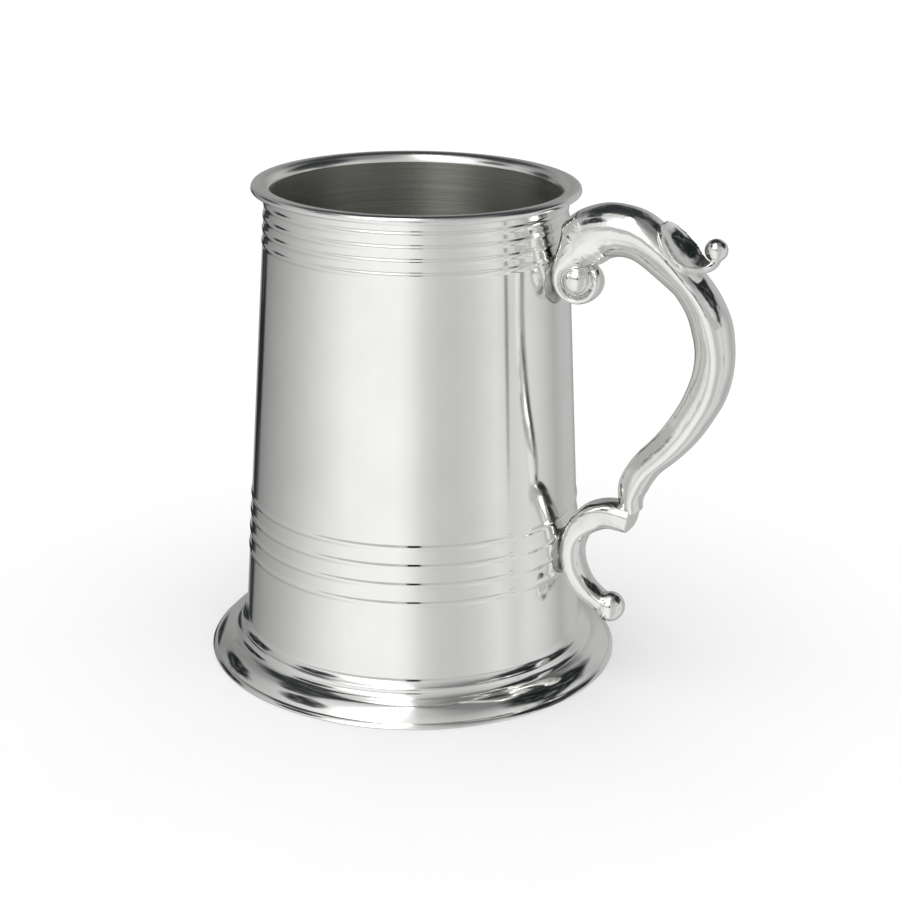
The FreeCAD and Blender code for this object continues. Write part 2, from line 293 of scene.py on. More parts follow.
def polished_pewter(name, clear, hazy):
    """Buffed metal: faint rings left by turning, a few haze patches and hairline wear."""
    nodes = Nodes(name)
    rings = nodes.noise(nodes.stretched(across=60, along=5200), scale=1.0, detail=2.0)
    haze = nodes.noise(nodes.place, scale=70.0, detail=4.0)
    hairs = nodes.noise(nodes.stretched(across=900, along=9000), scale=1.0, roughness=0.7)
    wear = nodes.scaled(haze, 0.0, 1.0, start=0.35, end=0.75)
    scratch = nodes.scaled(hairs, 0.0, 0.05, start=0.5, end=0.8)
    roughness = nodes.maths("ADD", nodes.scaled(haze, clear, hazy), scratch)
    soft = nodes.bump(haze, distance=0.00003, strength=0.35)
    normal = nodes.bump(rings, distance=0.000002, under=soft, strength=0.5)
    return nodes.metal(nodes.blend(wear, BUFFED, BUFFED_HAZE), roughness, normal)


def turned_satin():
    """The unpolished inside, with the fine rings of the lathe tool and a darker, olive cast."""
    nodes = Nodes("turned_satin")
    fine = nodes.noise(nodes.stretched(across=25, along=3600), scale=1.0, detail=4.0, roughness=0.65)
    broad = nodes.noise(nodes.stretched(across=12, along=700), scale=1.0, detail=2.0)
    stain = nodes.noise(nodes.place, scale=45.0, detail=4.0)
    tone = nodes.blend(nodes.scaled(fine, 0.0, 1.0, start=0.3, end=0.7), INSIDE_DARK, INSIDE_PALE)
    stained = nodes.scaled(stain, 0.0, 0.5, start=0.4, end=0.8)
    colour = nodes.blend(stained, tone, INSIDE_STAIN)
    roughness = nodes.maths("ADD", nodes.scaled(fine, 0.33, 0.43), nodes.scaled(broad, -0.03, 0.05))
    waves = nodes.bump(broad, distance=0.00008, strength=0.6)
    normal = nodes.bump(fine, distance=0.00006, under=waves, strength=0.8)
    return nodes.metal(colour, roughness, normal, GROOVED)


def floor_satin():
    """The bottom of the inside: rings round the middle, and a grey bloom."""
    nodes = Nodes("floor_satin")
    wave = nodes.add("ShaderNodeTexWave", wave_type="RINGS", rings_direction="Z")
    wave.inputs["Scale"].default_value = 900.0
    wave.inputs["Distortion"].default_value = 0.6
    wave.inputs["Detail"].default_value = 2.0
    nodes.link(nodes.place, wave.inputs["Vector"])
    rings = wave.outputs["Fac"]
    stain = nodes.noise(nodes.place, scale=60.0, detail=4.0)
    stained = nodes.scaled(stain, 0.0, 1.0, start=0.35, end=0.7)
    roughness = nodes.maths("ADD", nodes.scaled(stain, 0.24, 0.36), nodes.scaled(rings, 0.0, 0.05))
    normal = nodes.bump(rings, distance=0.00002, strength=0.6)
    return nodes.metal(nodes.blend(stained, FLOOR_PALE, FLOOR_STAIN), roughness, normal)


def cast_pewter():
    """Cast and then buffed by hand: a gentle ripple, small pits, and in the hollows dark patina that also
    paints in their shade.
    """
    nodes = Nodes("cast_pewter")
    waves = nodes.noise(nodes.place, scale=260.0, detail=2.0)
    pits = nodes.noise(nodes.place, scale=1500.0, roughness=0.6)
    haze = nodes.noise(nodes.place, scale=90.0, detail=4.0)
    # Pointiness is 0.5 on a flat face and less in a hollow.
    hollow = nodes.add("ShaderNodeNewGeometry").outputs["Pointiness"]
    # Darker and rougher in hollows: partly real patina, partly painted shade, such as in the crevice above
    # the volute's ball.
    crevice_patina_and_shade = nodes.scaled(hollow, 0.92, 0.0, start=0.43, end=0.495)
    clean = nodes.blend(nodes.scaled(haze, 0.0, 1.0, start=0.3, end=0.75), CAST, CAST_HAZE)
    roughness = nodes.maths("ADD", nodes.scaled(pits, 0.07, 0.15), nodes.scaled(crevice_patina_and_shade, 0.0, 0.25))
    wavy = nodes.bump(waves, distance=0.00022, strength=0.5)
    normal = nodes.bump(pits, distance=0.00003, under=wavy, strength=0.35)
    # The hollows' dark colour mixes patina with painted shade.
    return nodes.metal(nodes.blend(crevice_patina_and_shade, clean, CREVICE_PATINA_AND_SHADE), roughness, normal)


def solder():
    """Dull, slightly frosted metal, wiped while it was soft."""
    nodes = Nodes("solder")
    lumps = nodes.noise(nodes.place, scale=420.0)
    grain = nodes.noise(nodes.place, scale=2600.0, detail=2.0)
    colour = nodes.blend(nodes.scaled(lumps, 0.0, 1.0, start=0.3, end=0.7), SOLDER_PALE, SOLDER_DARK)
    lumpy = nodes.bump(lumps, distance=0.0002)
    normal = nodes.bump(grain, distance=0.00004, under=lumpy, strength=0.5)
    return nodes.metal(colour, nodes.scaled(grain, 0.28, 0.46), normal)


def floor_paint():
    """Matt white paper, with a very faint mottle."""
    nodes = Nodes("floor_paint")
    fleck = nodes.noise(nodes.place, scale=9.0, detail=5.0)
    shader = nodes.add("ShaderNodeBsdfDiffuse")
    nodes.link(nodes.blend(fleck, PAPER, PAPER_PALE), shader.inputs["Color"])
    output = nodes.add("ShaderNodeOutputMaterial")
    nodes.link(shader.outputs[0], output.inputs["Surface"])
    return nodes.material


# ---------------------------------------------------------------- turned pieces

# The foot's edges over this many degrees stay crisp.
CRISP_FOOT = 30


def barrel_outline():
    """Up the outside with a finer step over each reed, then down the plain inside."""
    low, high = BARREL_LOW.z, BARREL_HIGH.z
    plain_step, digits = 3.0, 3
    reed_steps = 9
    reed_reach = REED_HALF * 1.15
    heights = {low, high}
    height = low
    while height < high:
        heights.add(round(height, digits))
        height += plain_step
    for middle in reed_middles():
        for step in range(-reed_steps, reed_steps + 1):
            heights.add(round(middle + reed_reach * step / reed_steps, digits))
    outside = [(barrel_radius(z), z) for z in sorted(heights)]
    inside_steps = 24
    inside = []
    for step in range(inside_steps + 1):
        z = high + (low - high) * step / inside_steps
        inside.append((cone(z) - WALL, z))
    return outside + inside


def barrel(outer, inner):
    piece = turned("barrel", barrel_outline(), [outer, inner])
    middle_of_wall = WALL / 2
    for face in piece.data.polygons:
        centre = face.center / MM
        if math.hypot(centre.x, centre.y) < cone(centre.z) - middle_of_wall:
            face.material_index = 1


def lip_ring(material):
    """A flared neck that rolls over into a rounded edge and falls back to the inside wall."""
    seat = LIP_LOW.z
    top = LIP_HIGH.z
    edge = LIP_HIGH.x
    bore = cone(seat) - WALL
    flare_rise, flare_inset = 0.45, 0.7
    widest = 1.15
    shoulder_drop, shoulder_inset = 0.22, 0.65
    crown_inset, fall_width = 1.9, 1.7
    crisp = 60
    points = outline([
        (bore, seat),
        (cone(seat), seat, -0.35),
        (edge - flare_inset, seat + flare_rise, -0.30),
        (edge, seat + widest, -0.16),
        (edge - shoulder_inset, top - shoulder_drop, -0.05),
        (edge - crown_inset, top, -0.03),
        (bore + fall_width, top - shoulder_drop, -0.32),
    ])
    turned("lip_ring", points, [material], crisp)


def bottom_disc(material):
    """A flat disc with a rounded upper edge, which dips a little towards its middle."""
    low, high = FLOOR_LOW.z, FLOOR_HIGH.z
    edge, edge_rise = 0.25, 0.06
    half_way_dip, middle_dip = edge * 0.3, edge * 0.5
    points = outline([
        (0, low),
        (cone(low) - WALL, low),
        (cone(high) - WALL, high - edge, edge_rise),
        (cone(high) - WALL - edge, high),
        (cone(high) / 2, high - half_way_dip),
        (0, high - middle_dip),
    ])
    turned("bottom_disc", points, [material])


def floor_solder(material):
    """The fillet under the bottom disc, uneven all the way round."""
    low, high = SOLDER_LOW.z, SOLDER_HIGH.z
    leg = high - low
    wall = cone(high) - WALL
    hollow = leg * 0.22
    still, wobble = leg * 0.1, leg * 0.12
    lumps_per_metre = 400
    points = outline([(wall - leg, high, hollow), (cone(low) - WALL, low), (wall, high)])
    piece = turned("floor_solder_ring", points, [material])
    for vertex in piece.data.vertices:
        if vertex.co.z < (high - still) * MM:
            shift = noise.noise(vertex.co * lumps_per_metre) * wobble * MM
            vertex.co.z = max(vertex.co.z + shift, low * MM)


def foot_skirt(material):
    """Collar, bead and hollow, then a rounded shoulder that rolls out to the rim."""
    foot = RIM_HIGH.x
    seat = BARREL_LOW.z
    collar = SKIRT_HIGH.z
    inside = cone(seat) - WALL
    edge = foot - 1.2
    shoulder_radius, shoulder = foot - 5.6, 4.8
    bead_radius, bead = foot - 7.2, 6.3
    neck_radius, neck = foot - 7.7, 7.3
    lining_radius, lining = foot - 7.6, 3.4
    points = outline([
        (inside, seat),
        (inside, seat - FOOT_SHEET * 0.8),
        (lining_radius, lining, -0.75),
        (edge - FOOT_SHEET, SKIRT_LOW.z),
        (edge, SKIRT_LOW.z, -0.55),
        (shoulder_radius, shoulder, 0.28),
        (bead_radius, bead, -0.20),
        (neck_radius, neck, 0.22),
        (cone(collar), collar),
        (cone(seat), seat),
    ])
    turned("foot_skirt", points, [material], CRISP_FOOT)


def foot_rim(material):
    """The ring that the tankard stands on, with its edges rounded."""
    foot = RIM_HIGH.x
    high = RIM_HIGH.z
    inner = foot - 2.6
    outer_edge, inner_edge = 0.3, 0.5
    points = outline([
        (inner + 0.6, 0),
        (foot - outer_edge, 0, -0.07),
        (foot - 0.05, outer_edge, -0.12),
        (foot - 1.1, high),
        (inner, high),
        (inner, inner_edge, -0.12),
    ])
    turned("foot_rim_ring", points, [material], CRISP_FOOT)


# ---------------------------------------------------------------- castings

# Centre lines are chains of tangent arcs: radius, turn in degrees (plus turns left, seen from -Y),
# and the thickness and width that are reached at the arc's end.
SCROLL_START = (44.29, 110.96, 50)
SCROLL_BEGINS = (13.4, 13.2)
SCROLL_ARCS = (
    (10.2, -19.4, 13.4, 13.6),
    (13.0, -69.2, 10.4, 13.0),
    (139.0, -4.7, 7.8, 12.0),
    (24.1, -28, 9.0, 11.6),
    (24.1, -42.6, 9.0, 11.0),
    (53.1, -21.5, 7.4, 9.2),
    (20.9, 26.2, 7.2, 8.2),
    (9.4, 41.5, 4.6, 6.2),
)
HOOK_START = (59.6, 44.5, 170)
HOOK_BEGINS = (6.4, 8.4)
HOOK_ARCS = (
    (40.0, 5, 7.0, 8.8),
    (10.8, 35, 7.2, 8.8),
    (10.8, 36, 5.8, 8.8),
    (12.6, 40, 5.4, 8.2),
    (12.6, 43, 4.6, 7.0),
    (20.0, 11, 4.2, 6.4),
)
# The bud that ends the lower scroll: its half axes, and how far its middle is past the tip.
BUD_RADII = (3.5, 3.8, 3.75)
BUD_REACH = 1.26
# The middle of the upper volute, in x and z. A disc there carries a ball on each side.
VOLUTE = Vector((43.5, 102.0))
VOLUTE_DISC = (4.9, 1.6)
BOSS_RADII = (3.85, 3.8, 3.95)
BOSS_SHIFT = (0.3, 2.3, 0.5)
# The volute's turns, from its tail to where the arch springs: direction from the middle, distance
# of the band's centre line, thickness and width.
VOLUTE_TURNS = (
    (398, 5.0, 1.0, 3.6),
    (360, 5.05, 1.5, 5.2),
    (270, 5.0, 1.7, 6.0),
    (225, 4.9, 2.2, 7.2),
    (180, 4.6, 3.3, 9.0),
)
# The leaf's line, whose thickness and width aren't used: they come from the values below.
LEAF_START = (63.8, 117.9, -52)
LEAF_ARCS = (
    (85.0, 3, 0, 0),
    (85.0, 3.2, 0, 0),
    (6.0, 42.8, 0, 0),
    (2.5, 80, 0, 0),
)
# The leaf's half width at each distance along it.
LEAF_HALF_WIDTHS = (
    (0, 2.2), (1.2, 4.2), (2.9, 5.7), (5.6, 7.2), (8.4, 7.8), (11.2, 6.4), (13.7, 3.9), (17.3, 1.9),
)
LEAF_BLADE = 1.0
LEAF_DISH = 1.15
# The leaf's raised edge: its height, where it begins across the leaf, and how soon it is full.
LEAF_BEAD = (0.28, 0.86, 0.10)
# A leaf narrower than this on each side of its middle is less deep.
LEAF_FULL_HALF = 6
KNOB_RADIUS = 2.65
# The step down a centre line, and the size of the grid that welds a casting's parts together.
STEP = 0.6
VOXEL = 0.22
VOLUTE_STEPS = 40
SPRING_STEPS = 14
# How many rounds of smoothing ease a welded casting, and a thinner one.
EASING = 12
THIN_EASING = 8


def along(start, begins, arcs):
    """Places down a chain of tangent arcs, from about STEP apart: x, z, heading, thickness, width."""
    x, z, heading = start
    angle = math.radians(heading)
    thick, wide = begins
    places = [(x, z, angle, thick, wide)]
    for radius, turn, end_thick, end_wide in arcs:
        side = math.copysign(radius, turn)
        steps = max(2, round(radius * abs(math.radians(turn)) / STEP))
        for step in range(1, steps + 1):
            share = step / steps
            here = angle + math.radians(turn) * share
            places.append((
                x + side * (math.sin(here) - math.sin(angle)),
                z - side * (math.cos(here) - math.cos(angle)),
                here,
                thick + (end_thick - thick) * share,
                wide + (end_wide - wide) * share,
            ))
        x, z, angle, thick, wide = places[-1]
    return places


def between(table, value):
    """A smooth reading from a table of (place, value, ...) rows, placed in rising or falling order."""
    rows = sorted(table)
    value = min(max(value, rows[0][0]), rows[-1][0])
    index = max(place for place in range(len(rows) - 1) if rows[place][0] <= value)
    before, low, high, after = (rows[min(max(index + step, 0), len(rows) - 1)] for step in (-1, 0, 1, 2))
    gap = high[0] - low[0]
    s = (value - low[0]) / gap
    readings = []
    for a, b, c, d in zip(before[1:], low[1:], high[1:], after[1:]):
        slope_in = (c - a) / (high[0] - before[0]) * gap
        slope_out = (d - b) / (after[0] - low[0]) * gap
        reading = b * (2 * s**3 - 3 * s**2 + 1) + c * (3 * s**2 - 2 * s**3)
        readings.append(reading + slope_in * (s**3 - 2 * s**2 + s) + slope_out * (s**3 - s**2))
    return readings


def volute_places():
    """The band that winds round the volute's ball, from its tail to the barrel's side."""
    places = []
    first, last = VOLUTE_TURNS[0][0], VOLUTE_TURNS[-1][0]
    for step in range(VOLUTE_STEPS):
        turn = first + (last - first) * step / VOLUTE_STEPS
        distance, thick, wide = between(VOLUTE_TURNS, turn)
        angle = math.radians(turn)
        x = VOLUTE.x + distance * math.cos(angle)
        z = VOLUTE.y + distance * math.sin(angle)
        places.append((x, z, angle - math.pi / 2, thick, wide))
    return places


def spring_places(start, end):
    """The swelling stretch from the side of the volute to the arch, on a Hermite curve."""
    fullness, late_swell = 1.05, 1.7
    p, q = Vector(start[:2]), Vector(end[:2])
    reach = (q - p).length * fullness
    pull_p = Vector((math.cos(start[2]), math.sin(start[2]))) * reach
    pull_q = Vector((math.cos(end[2]), math.sin(end[2]))) * reach
    places = []
    for step in range(SPRING_STEPS):
        s = step / SPRING_STEPS
        spot = p * (2 * s**3 - 3 * s**2 + 1) + pull_p * (s**3 - 2 * s**2 + s)
        spot += q * (-2 * s**3 + 3 * s**2) + pull_q * (s**3 - s**2)
        slope = (p - q) * (6 * s**2 - 6 * s) + pull_p * (3 * s**2 - 4 * s + 1) + pull_q * (3 * s**2 - 2 * s)
        thick = start[3] + (end[3] - start[3]) * s**late_swell
        wide = start[4] + (end[4] - start[4]) * s
        places.append((spot.x, spot.y, math.atan2(slope.y, slope.x), thick, wide))
    return places


def d_section(thick, wide, crown, inner):
    """A rounded crown over two flanks that close in to a narrow inner face: (across, outward).

    crown is the crown's share of the thickness, and inner the inner face's share of the width.
    """
    crown_steps, flank_steps = 18, 7
    crown_fullness, flank_bulge = 0.9, 0.03 * wide
    chamfer, flat = 0.14, 0.62
    ridge = thick * (0.5 - crown)
    rise = thick * crown
    points = []
    for step in range(crown_steps + 1):
        angle = math.pi * step / crown_steps
        points.append((wide / 2 * math.cos(angle), ridge + rise * math.sin(angle) ** crown_fullness))
    fall = thick * (1 - crown)
    flank = []
    for step in range(1, flank_steps + 1):
        share = step / flank_steps
        half = wide / 2 * (1 - share * (1 - inner)) + flank_bulge * math.sin(math.pi * share)
        flank.append((half, ridge - fall * share * (1 - chamfer)))
    points += [(-half, out) for half, out in flank]
    base = wide / 2 * inner * flat
    points += [(-base, -thick / 2), (0, -thick / 2), (base, -thick / 2)]
    points += [(half, out) for half, out in reversed(flank)]
    return points


def oval_section(thick, wide, power):
    """A rounded rectangle: an ellipse drawn with a higher power."""
    points = []
    steps = 40
    for step in range(steps):
        angle = 2 * math.pi * step / steps
        c, s = math.cos(angle), math.sin(angle)
        points.append((
            wide / 2 * math.copysign(abs(c) ** (2 / power), c),
            thick / 2 * math.copysign(abs(s) ** (2 / power), s),
        ))
    return points


def sweep(shape, places, sections):
    """Carry one closed section per place down a centre line in the handle's plane, and cap the ends."""
    rings = []
    for (x, z, angle, *_), section in zip(places, sections):
        out_x, out_z = -math.sin(angle), math.cos(angle)
        rings.append([shape.verts.new((x + out_x * out, across, z + out_z * out)) for across, out in section])
    for ring, after in zip(rings, rings[1:]):
        count = len(ring)
        for index in range(count):
            beside = (index + 1) % count
            shape.faces.new((ring[index], ring[beside], after[beside], after[index]))
    shape.faces.new(rings[0][::-1])
    shape.faces.new(rings[-1])


def ball(shape, centre, radii):
    """An ellipsoid with half axes radii."""
    made = bmesh.ops.create_uvsphere(shape, u_segments=40, v_segments=24, radius=1.0)
    bmesh.ops.scale(shape, vec=radii, verts=made["verts"])
    bmesh.ops.translate(shape, vec=centre, verts=made["verts"])


def drum(shape, centre, radius, half):
    """A disc lying across the handle's plane."""
    made = bmesh.ops.create_cone(
        shape, cap_ends=True, segments=48, radius1=radius, radius2=radius, depth=half * 2
    )
    bmesh.ops.rotate(shape, matrix=Matrix.Rotation(math.pi / 2, 3, "X"), verts=made["verts"])
    bmesh.ops.translate(shape, vec=centre, verts=made["verts"])


def fused(piece, voxel, rounds):
    """Turn a piece's overlapping closed shells into one closed skin, and ease its edges."""
    remesh = piece.modifiers.new("skin", "REMESH")
    remesh.mode = "VOXEL"
    remesh.voxel_size = voxel * MM
    remesh.use_smooth_shade = True
    ease = piece.modifiers.new("ease", "SMOOTH")
    ease.factor = 0.5
    ease.iterations = rounds
    settle(piece)
    piece.data.shade_smooth()


def settle(piece):
    """Make what a piece's modifiers give into its own mesh."""
    graph = bpy.context.evaluated_depsgraph_get()
    made = bpy.data.meshes.new_from_object(piece.evaluated_get(graph))
    piece.modifiers.clear()
    piece.data = made


def ripple(piece, size, depth, seed):
    """Push the skin in and out a little, as a casting that was filed and buffed by hand."""
    shift = Vector((seed, seed * 1.7, seed * 0.3))
    normals = [vertex.normal.copy() for vertex in piece.data.vertices]
    for vertex, normal in zip(piece.data.vertices, normals):
        spot = vertex.co / MM / size + shift
        vertex.co += normal * (noise.noise(spot) * depth * MM)


def fit_to_barrel(piece):
    """Cut a casting to the barrel, so that nothing of it goes into the wall."""
    below, above = 2, 1
    steps_per_mm = 2
    crisp = 38
    heights = [step / steps_per_mm for step in range(steps_per_mm * round(BARREL_HIGH.z + above) + 1)]
    side = [(barrel_radius(z) + FILM, z) for z in heights]
    solid = [(0, -below), (side[0][0], -below)] + side + [(0, heights[-1])]
    core = mesh_object("core", spin(solid), [], None)
    trim = piece.modifiers.new("trim", "BOOLEAN")
    trim.operation = "DIFFERENCE"
    trim.solver = "MANIFOLD"
    trim.object = core
    settle(piece)
    piece.data.set_sharp_from_angle(angle=math.radians(crisp))
    bpy.data.objects.remove(core)


def scroll_places():
    """The whole upper scroll, from the volute's tail to its tip."""
    wound = volute_places()
    limb = along(SCROLL_START, SCROLL_BEGINS, SCROLL_ARCS)
    distance, thick, wide = VOLUTE_TURNS[-1][1:]
    side = (VOLUTE.x - distance, VOLUTE.y, math.pi / 2, thick, wide)
    return wound + spring_places(side, limb[0]) + limb


def leaf_line():
    """Places down the leaf's middle, each with its distance from the start."""
    places = along(LEAF_START, (0, 0), LEAF_ARCS)
    gone = 0.0
    line = [(0.0, places[0])]
    for before, here in zip(places, places[1:]):
        gone += math.dist(before[:2], here[:2])
        line.append((gone, here))
    return line


def leaf_dip(share, half):
    """Depth of the dish below the leaf's line, across it from -1 to 1."""
    return LEAF_DISH * min(1, half / LEAF_FULL_HALF) * (1 - share * share)


def leaf_top(share, half):
    """Height of the dish above the leaf's line, across it from -1 to 1, with a raised edge."""
    rise, begins, grows = LEAF_BEAD
    return rise * min(1, max(0, (abs(share) - begins) / grows)) - leaf_dip(share, half)


def leaf_section(half):
    """The dished top of the leaf, and its slightly narrower underside: (across, outward)."""
    steps = 28
    narrower = 0.97
    top = []
    for step in range(steps + 1):
        share = 1 - 2 * step / steps
        top.append((half * share, leaf_top(share, half)))
    bottom = []
    for across, out in reversed(top[1:-1]):
        bottom.append((across * narrower, -leaf_dip(across / half, half) - LEAF_BLADE))
    return top + bottom


def seat_leaf(piece):
    """Lower the scroll's crown wherever the leaf lies over it."""
    line = leaf_line()
    clearance = LEAF_BLADE * 0.6
    nearest_x, lowest_z = LEAF_START[0] - 1, 104
    for vertex in piece.data.vertices:
        spot = vertex.co / MM
        if spot.x < nearest_x or spot.z < lowest_z:
            continue
        gone, (x, z, angle, *_) = min(line, key=lambda row: math.dist(row[1][:2], (spot.x, spot.z)))
        outward = Vector((-math.sin(angle), 0, math.cos(angle)))
        ahead = (spot.x - x) * math.cos(angle) + (spot.z - z) * math.sin(angle)
        if gone == 0 and ahead < 0:
            continue
        half = between(LEAF_HALF_WIDTHS, gone)[0]
        if abs(spot.y) > half:
            continue
        above = Vector((spot.x - x, 0, spot.z - z)).dot(outward)
        limit = leaf_top(spot.y / half, half) - clearance
        if above > limit:
            vertex.co += outward * ((limit - above) * MM)


def scroll_sections(places):
    """The upper scroll's section changes from flat in the volute to a D, whose crown then sinks."""
    sinks_after, sinks_over = 34, 20
    crown_wound, crown_more, crown_less = 0.5, 0.06, 0.16
    inner_wound, inner_less = 0.86, 0.42
    sections = []
    for index, (x, z, angle, thick, wide) in enumerate(places):
        past = index - VOLUTE_STEPS
        swell = min(1, max(0, past / SPRING_STEPS))
        sunk = min(1, max(0, (past - sinks_after) / sinks_over))
        crown = crown_wound + crown_more * swell - crown_less * sunk
        sections.append(d_section(thick, wide, crown, inner_wound - inner_less * swell))
    return sections


def upper_scroll(material):
    shape = bmesh.new()
    places = scroll_places()
    sweep(shape, places, scroll_sections(places))
    drum(shape, (VOLUTE.x, 0, VOLUTE.y), *VOLUTE_DISC)
    shift_x, shift_y, shift_z = BOSS_SHIFT
    for side in (-1, 1):
        ball(shape, (VOLUTE.x + shift_x, side * shift_y, VOLUTE.y + shift_z), BOSS_RADII)
    piece = mesh_object("handle_upper_scroll", shape, [material])
    fused(piece, VOXEL, EASING)
    ripple(piece, size=7.0, depth=0.16, seed=3.1)
    seat_leaf(piece)
    fit_to_barrel(piece)
    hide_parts("handle_upper_scroll")


def thumb_leaf(material):
    shape = bmesh.new()
    line = leaf_line()
    places = [place for gone, place in line]
    sections = [leaf_section(between(LEAF_HALF_WIDTHS, gone)[0]) for gone, place in line]
    sweep(shape, places, sections)
    tip_x, tip_z = places[-1][:2]
    ahead, lift = 0.2, KNOB_RADIUS * 0.7
    wider = KNOB_RADIUS * 1.05
    ball(shape, (tip_x + ahead, 0, tip_z + lift), (KNOB_RADIUS, wider, KNOB_RADIUS))
    piece = mesh_object("thumb_leaf", shape, [material])
    fused(piece, VOXEL * 0.8, THIN_EASING)
    ripple(piece, size=3.0, depth=0.10, seed=8.4)
    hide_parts("thumb_leaf")


def lower_scroll(material):
    shape = bmesh.new()
    squareness = 2.6
    places = along(HOOK_START, HOOK_BEGINS, HOOK_ARCS)
    sections = [oval_section(thick, wide, squareness) for x, z, angle, thick, wide in places]
    sweep(shape, places, sections)
    x, z, angle = places[-1][:3]
    ball(shape, (x + math.cos(angle) * BUD_REACH, 0, z + math.sin(angle) * BUD_REACH), BUD_RADII)
    piece = mesh_object("handle_lower_scroll", shape, [material])
    fused(piece, VOXEL, EASING)
    ripple(piece, size=5.0, depth=0.12, seed=5.7)
    fit_to_barrel(piece)
    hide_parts("handle_lower_scroll")


def solder_pad(name, material):
    """A thin, uneven lens of solder wrapped on the barrel where a casting meets it."""
    low, high = corners_of(name)
    middle = (low.z + high.z) / 2
    spread, thickness = 0.6, 0.7
    half_width, half_height = high.y + spread, (high.z - low.z) / 2
    rings, spokes = 10, 64
    unevenness, lobes = 0.08, 2
    weld = 0.001
    shape = bmesh.new()
    halves = []
    for side in (0, 1):
        centre_radius = barrel_radius(middle) + (thickness if side else 0)
        centre = shape.verts.new((centre_radius, 0, middle))
        grid = []
        for ring in range(1, rings + 1):
            share = ring / rings
            loop = []
            for spoke in range(spokes):
                angle = 2 * math.pi * spoke / spokes
                spot = Vector((math.cos(angle) * lobes, math.sin(angle) * lobes, middle))
                uneven = 1 + unevenness * noise.noise(spot)
                across = half_width * share * uneven * math.cos(angle)
                z = middle + half_height * share * math.sin(angle)
                lift = thickness * math.sqrt(max(0, 1 - share**2)) if side else 0
                radius = barrel_radius(z) + lift
                turn = across / radius
                loop.append(shape.verts.new((radius * math.cos(turn), radius * math.sin(turn), z)))
            grid.append(loop)
        halves.append((centre, grid))
    for centre, grid in halves:
        for spoke in range(spokes):
            after = (spoke + 1) % spokes
            shape.faces.new((centre, grid[0][spoke], grid[0][after]))
            for inner, outer in zip(grid, grid[1:]):
                shape.faces.new((inner[spoke], outer[spoke], outer[after], inner[after]))
    bmesh.ops.remove_doubles(shape, verts=shape.verts, dist=weld)
    piece = mesh_object(name, shape, [material])
    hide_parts(name)


# ---------------------------------------------------------------- the studio

VIEW_AZIMUTH = 28
VIEW_DISTANCE = 452.87
VIEW_HEIGHT = 214.4
VIEW_PAN = 1.13
VIEW_TILT = 19.74
VIEW_ROLL = 0.785
LENS = 76.0
SENSOR = 36.0

# Brightness of the white surround, by direction in degrees round the tankard: 0 is towards the
# camera, minus is to its left.
SURROUND = (
    (-180, 0.34), (-160, 0.34), (-140, 0.26), (-128, 0.33), (-105, 0.45), (-87, 0.57), (-65, 0.77),
    (-46, 0.94), (-30, 0.98), (-12, 0.98), (-3, 0.88), (6, 0.70), (17, 0.60), (29, 0.585), (41, 0.63),
    (59, 0.78), (72, 0.68), (84, 0.75), (96, 0.68), (106, 0.58), (118, 0.45), (132, 0.52), (150, 0.52),
    (163, 0.38), (180, 0.30),
)
# The same for the roof, which is lit from the front left. It is brighter by ROOF_GAIN.
ROOF = (
    (-180, 0.045), (-125, 0.055), (-100, 0.14), (-65, 0.18), (-52, 0.28), (-38, 1.00), (-22, 1.00),
    (-8, 0.28), (4, 0.13), (30, 0.08), (60, 0.05), (110, 0.035), (180, 0.045),
)
ROOF_GAIN = 4.6
# Elevations between which the surround's light gives way to the roof's.
WALL_TOP, ROOF_EDGE = 25.0, 55.0
TENT_RADIUS = 2.5
PAPER_RADIUS = 6.0
# Darker gaps in the tent: azimuth, elevation, half width, half height in degrees, brightness, and
# how ragged the edge is. The first is a grey band along the front.
GAPS = (
    (0, 18, 80, 8, 0.52, 0.2),
    (-151, -14, 9, 17, 0.02, 0.1),
    (68, -8, 1.5, 6, 0.20, 0.1),
    (-122, 17, 15, 11, 0.01, 0.35),
    (-78, 42, 17, 12, 0.02, 0.35),
    (100, 38, 36, 22, 0.01, 0.35),
    (178, 60, 58, 29, 0.03, 0.35),
    (-130, 60, 36, 13, 0.03, 0.35),
    (80, 70, 35, 12, 0.22, 0.35),
)
LENS_HOOD = (75, 60, 110)


def camera():
    data = bpy.data.cameras.new("camera")
    data.lens = LENS
    data.sensor_width = SENSOR
    data.clip_start = 0.01
    view = bpy.data.objects.new("camera", data)
    bpy.context.scene.collection.objects.link(view)
    round_z = Matrix.Rotation(math.radians(VIEW_AZIMUTH), 4, "Z")
    pan = Matrix.Rotation(-math.radians(VIEW_PAN), 4, "Z")
    tilt = Matrix.Rotation(math.radians(90 - VIEW_TILT), 4, "X")
    roll = Matrix.Rotation(math.radians(VIEW_ROLL), 4, "Z")
    stand = Matrix.Translation(Vector((0, -VIEW_DISTANCE, VIEW_HEIGHT)) * MM)
    view.matrix_world = round_z @ stand @ pan @ tilt @ roll
    bpy.context.scene.camera = view


def stage_object(name, shape, material, seen=True):
    mesh = bpy.data.meshes.new(name)
    shape.to_mesh(mesh)
    shape.free()
    mesh.materials.append(material)
    item = bpy.data.objects.new(name, mesh)
    bpy.context.scene.collection.objects.link(item)
    if not seen:
        item.visible_camera = False
        item.visible_diffuse = False
        item.visible_shadow = False
    return item


def paper_floor():
    shape = bmesh.new()
    bmesh.ops.create_circle(shape, cap_ends=True, segments=96, radius=PAPER_RADIUS)
    item = stage_object("paper_floor", shape, floor_paint())
    item.visible_glossy = False


